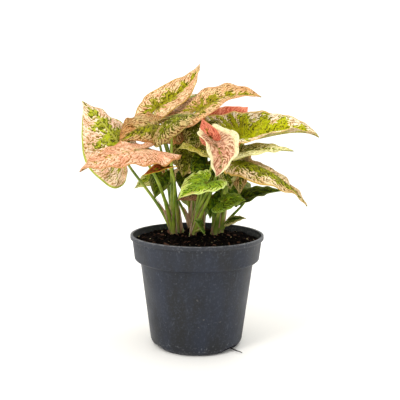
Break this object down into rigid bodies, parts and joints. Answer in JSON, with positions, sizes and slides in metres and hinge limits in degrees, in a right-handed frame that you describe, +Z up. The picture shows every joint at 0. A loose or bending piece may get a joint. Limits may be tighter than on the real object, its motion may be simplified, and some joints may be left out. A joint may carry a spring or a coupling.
{
  "type": "potted syngonium",
  "caption": "Potted arrowhead vine with pink and green arrow-shaped leaves on thin stalks, in a round tapered nursery pot of dark soil.",
  "frame": {"origin": "centre of the pot's flat underside, on the pot's axis", "axes": "+Z up along the pot's axis, -Y towards the front of the plant as pictured, +X to the right of that view"},
  "size_m": [0.2092, 0.2003, 0.2563],
  "materials": {
    "pot": "moulded nursery-pot plastic, dark blue-grey, matt with light scuffs",
    "soil": "damp dark peat with bark crumbs, rough and dull",
    "stalk": "smooth green leaf stalks with pinkish sheaths, semi-matt",
    "leaf_marbled": "green centre marbled to pink and cream towards the margin, waxy semi-matt",
    "leaf_salmon": "salmon pink with fine darker veins, waxy semi-matt",
    "leaf_red": "coral red young leaf, semi-matt",
    "leaf_pale": "pale yellow-green with green veins, semi-matt",
    "leaf_olive": "olive and pinkish brown mottled, waxy semi-matt",
    "leaf_green": "fresh green speckled with cream, waxy semi-matt",
    "leaf_dark": "deep green, waxy semi-matt"
  },
  "bodies": {
    "root": {"pot": "pot", "soil": "soil", "shoot_left": "stalk", "shoot_left_back": "stalk", "shoot_front": "stalk", "shoot_middle": "stalk", "shoot_right_front": "stalk", "shoot_right": "stalk", "shoot_back": "stalk", "leaf_top": "leaf_marbled", "leaf_crest": "leaf_marbled", "leaf_left": "leaf_marbled", "leaf_salmon": "leaf_salmon", "leaf_right": "leaf_marbled", "leaf_pale": "leaf_pale", "leaf_drooping": "leaf_olive", "leaf_olive": "leaf_olive", "leaf_folded": "leaf_green", "leaf_young_red": "leaf_red", "leaf_cupped": "leaf_salmon", "leaf_coral": "leaf_red", "leaf_yellow": "leaf_pale", "leaf_mottled": "leaf_olive", "leaf_hanging": "leaf_olive", "leaf_low_bright": "leaf_green", "leaf_low_dark": "leaf_dark", "leaf_low_right": "leaf_green", "leaf_tiny_right": "leaf_dark", "leaf_tiny_front": "leaf_dark", "leaf_small_left": "leaf_pale", "leaf_small_front": "leaf_dark", "leaf_small_pink": "leaf_salmon", "leaf_inner_left": "leaf_dark", "leaf_inner_right": "leaf_dark", "leaf_back_top": "leaf_green", "leaf_back_high": "leaf_marbled", "leaf_back_left": "leaf_green", "leaf_back_mid": "leaf_marbled", "leaf_back_right": "leaf_marbled", "leaf_back_low_right": "leaf_green", "leaf_back_low_left": "leaf_salmon", "leaf_back_small": "leaf_dark", "leaf_back_base": "leaf_dark"}
  },
  "joints": []
}
